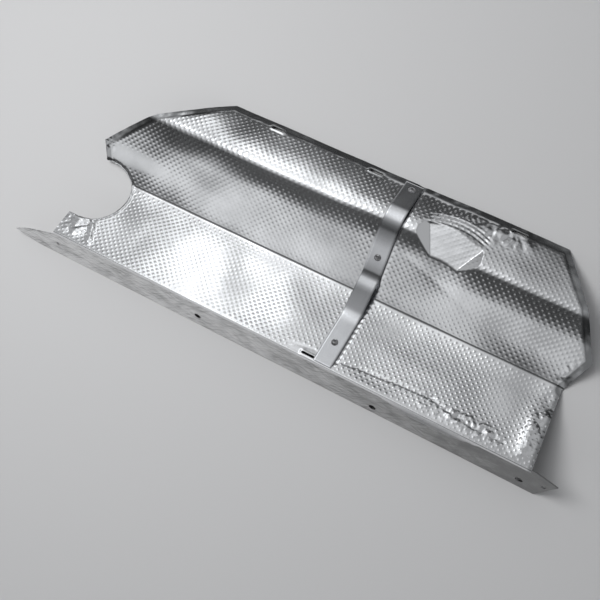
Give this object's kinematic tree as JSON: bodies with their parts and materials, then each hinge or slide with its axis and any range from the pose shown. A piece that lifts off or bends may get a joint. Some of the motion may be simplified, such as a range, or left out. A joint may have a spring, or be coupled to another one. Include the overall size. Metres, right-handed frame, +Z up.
{
  "type": "heat shield",
  "caption": "Waved, dimple-embossed aluminium heat shield with hemmed edges, a notched end and a stamped flat, crimped on a drilled mounting rail and tied by a riveted cross strap.",
  "frame": {"origin": "centre of the footprint on the surface that the shield lies on", "axes": "+X along the length towards the rail's blunt end, +Y from the rail to the back edge, +Z up from the surface"},
  "size_m": [0.712, 0.2538, 0.0474],
  "materials": {
    "embossed_sheet": "bright, dimple embossed",
    "plain_strip": "mill finish, lightly brushed",
    "rail_strip": "mill finish, dull and scuffed",
    "rivet": "satin"
  },
  "bodies": {
    "root": {"shield_panel": "embossed_sheet", "cross_strap": "plain_strip", "mounting_rail": "rail_strip", "front_rivet": "rivet", "middle_rivet": "rivet", "back_rivet": "rivet"}
  },
  "joints": []
}
